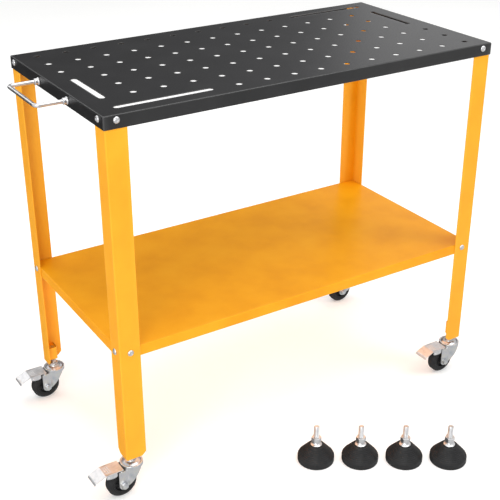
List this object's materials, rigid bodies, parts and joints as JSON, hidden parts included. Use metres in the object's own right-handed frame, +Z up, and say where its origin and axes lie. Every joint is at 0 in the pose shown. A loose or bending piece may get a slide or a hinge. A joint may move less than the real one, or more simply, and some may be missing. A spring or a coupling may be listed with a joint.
{
  "type": "welding table",
  "caption": "Rolling welding table with a perforated steel top, angle legs, lower shelf, end handle, braked swivel casters and loose levelling feet.",
  "frame": {"origin": "on the floor, under the middle of the box that holds the table, its handle and pedals, and the four loose feet; the middle of the table top is at x 0.034, y 0.1475", "axes": "+X along the table's long side, from the handle end to the plain end; +Y from the front, where the loose feet stand, to the back; +Z up"},
  "size_m": [0.9918, 0.7616, 0.8315],
  "materials": {
    "black_powder_coat": "satin black powder coat",
    "orange_powder_coat": "satin orange powder coat",
    "chrome_plate": "bright chrome plate",
    "zinc_plate": "bright zinc plate on pressed steel",
    "tread_rubber": "smooth moulded rubber",
    "black_nylon": "moulded",
    "foot_rubber": "ribbed moulded rubber"
  },
  "bodies": {
    "table": {"table_top": "black_powder_coat", "lower_shelf": "orange_powder_coat", "leg_front_left": "orange_powder_coat", "leg_front_right": "orange_powder_coat", "leg_rear_right": "orange_powder_coat", "leg_rear_left": "orange_powder_coat", "top_bolt_front_left_long_side": "chrome_plate", "top_bolt_front_left_short_side": "chrome_plate", "top_bolt_front_right_long_side": "chrome_plate", "top_bolt_front_right_short_side": "chrome_plate", "top_bolt_rear_right_long_side": "chrome_plate", "top_bolt_rear_right_short_side": "chrome_plate", "top_bolt_rear_left_long_side": "chrome_plate", "top_bolt_rear_left_short_side": "chrome_plate", "shelf_bolt_front_left_long_side": "chrome_plate", "shelf_bolt_front_left_short_side": "chrome_plate", "shelf_bolt_front_right_long_side": "chrome_plate", "shelf_bolt_front_right_short_side": "chrome_plate", "shelf_bolt_rear_right_long_side": "chrome_plate", "shelf_bolt_rear_right_short_side": "chrome_plate", "shelf_bolt_rear_left_long_side": "chrome_plate", "shelf_bolt_rear_left_short_side": "chrome_plate", "handle_rod": "chrome_plate", "handle_collar_front": "chrome_plate", "handle_nut_front": "zinc_plate", "handle_collar_rear": "chrome_plate", "handle_nut_rear": "zinc_plate", "caster_stem_front_left": "zinc_plate", "caster_stem_front_right": "zinc_plate", "caster_stem_rear_right": "zinc_plate", "caster_stem_rear_left": "zinc_plate"},
    "swivel_front_left": {"caster_fork_front_left": "zinc_plate", "caster_axle_front_left": "zinc_plate"},
    "wheel_front_left": {"caster_tyre_front_left": "tread_rubber", "caster_wheel_core_front_left": "black_nylon"},
    "pedal_front_left": {"caster_brake_pedal_front_left": "chrome_plate"},
    "swivel_front_right": {"caster_fork_front_right": "zinc_plate", "caster_axle_front_right": "zinc_plate"},
    "wheel_front_right": {"caster_tyre_front_right": "tread_rubber", "caster_wheel_core_front_right": "black_nylon"},
    "pedal_front_right": {"caster_brake_pedal_front_right": "chrome_plate"},
    "swivel_rear_right": {"caster_fork_rear_right": "zinc_plate", "caster_axle_rear_right": "zinc_plate"},
    "wheel_rear_right": {"caster_tyre_rear_right": "tread_rubber", "caster_wheel_core_rear_right": "black_nylon"},
    "pedal_rear_right": {"caster_brake_pedal_rear_right": "chrome_plate"},
    "swivel_rear_left": {"caster_fork_rear_left": "zinc_plate", "caster_axle_rear_left": "zinc_plate"},
    "wheel_rear_left": {"caster_tyre_rear_left": "tread_rubber", "caster_wheel_core_rear_left": "black_nylon"},
    "pedal_rear_left": {"caster_brake_pedal_rear_left": "chrome_plate"},
    "foot_1": {"levelling_foot_pad_1": "foot_rubber", "levelling_foot_stud_1": "chrome_plate"},
    "foot_2": {"levelling_foot_pad_2": "foot_rubber", "levelling_foot_stud_2": "chrome_plate"},
    "foot_3": {"levelling_foot_pad_3": "foot_rubber", "levelling_foot_stud_3": "chrome_plate"},
    "foot_4": {"levelling_foot_pad_4": "foot_rubber", "levelling_foot_stud_4": "chrome_plate"}
  },
  "joints": [
    {"name": "caster_swivel_front_left", "type": "hinge", "parent": "table", "child": "swivel_front_left", "pos_m": [-0.4044, -0.0623, 0], "axis": [0, 0, 1], "continuous": true},
    {"name": "wheel_spin_front_left", "type": "hinge", "parent": "swivel_front_left", "child": "wheel_front_left", "pos_m": [-0.4304, -0.0623, 0.03272], "axis": [0, 1, 0], "continuous": true},
    {"name": "brake_press_front_left", "type": "hinge", "parent": "swivel_front_left", "child": "pedal_front_left", "pos_m": [-0.4344, -0.0623, 0.0667], "axis": [0, -1, 0], "range_deg": [0, 10]},
    {"name": "caster_swivel_front_right", "type": "hinge", "parent": "table", "child": "swivel_front_right", "pos_m": [0.4724, -0.0623, 0], "axis": [0, 0, 1], "continuous": true},
    {"name": "wheel_spin_front_right", "type": "hinge", "parent": "swivel_front_right", "child": "wheel_front_right", "pos_m": [0.4464, -0.0623, 0.03272], "axis": [0, 1, 0], "continuous": true},
    {"name": "brake_press_front_right", "type": "hinge", "parent": "swivel_front_right", "child": "pedal_front_right", "pos_m": [0.4424, -0.0623, 0.0667], "axis": [0, -1, 0], "range_deg": [0, 10]},
    {"name": "caster_swivel_rear_right", "type": "hinge", "parent": "table", "child": "swivel_rear_right", "pos_m": [0.4724, 0.3573, 0], "axis": [0, 0, 1], "continuous": true},
    {"name": "wheel_spin_rear_right", "type": "hinge", "parent": "swivel_rear_right", "child": "wheel_rear_right", "pos_m": [0.4464, 0.3573, 0.03272], "axis": [0, 1, 0], "continuous": true},
    {"name": "brake_press_rear_right", "type": "hinge", "parent": "swivel_rear_right", "child": "pedal_rear_right", "pos_m": [0.4424, 0.3573, 0.0667], "axis": [0, -1, 0], "range_deg": [0, 10]},
    {"name": "caster_swivel_rear_left", "type": "hinge", "parent": "table", "child": "swivel_rear_left", "pos_m": [-0.4044, 0.3573, 0], "axis": [0, 0, 1], "continuous": true},
    {"name": "wheel_spin_rear_left", "type": "hinge", "parent": "swivel_rear_left", "child": "wheel_rear_left", "pos_m": [-0.4304, 0.3573, 0.03272], "axis": [0, 1, 0], "continuous": true},
    {"name": "brake_press_rear_left", "type": "hinge", "parent": "swivel_rear_left", "child": "pedal_rear_left", "pos_m": [-0.4344, 0.3573, 0.0667], "axis": [0, -1, 0], "range_deg": [0, 10]},
    {"name": "foot_lift_1", "type": "slide", "parent": "table", "child": "foot_1", "axis": [0, 0, 1], "range_m": [0, 0.15]},
    {"name": "foot_lift_2", "type": "slide", "parent": "table", "child": "foot_2", "axis": [0, 0, 1], "range_m": [0, 0.15]},
    {"name": "foot_lift_3", "type": "slide", "parent": "table", "child": "foot_3", "axis": [0, 0, 1], "range_m": [0, 0.15]},
    {"name": "foot_lift_4", "type": "slide", "parent": "table", "child": "foot_4", "axis": [0, 0, 1], "range_m": [0, 0.15]}
  ]
}
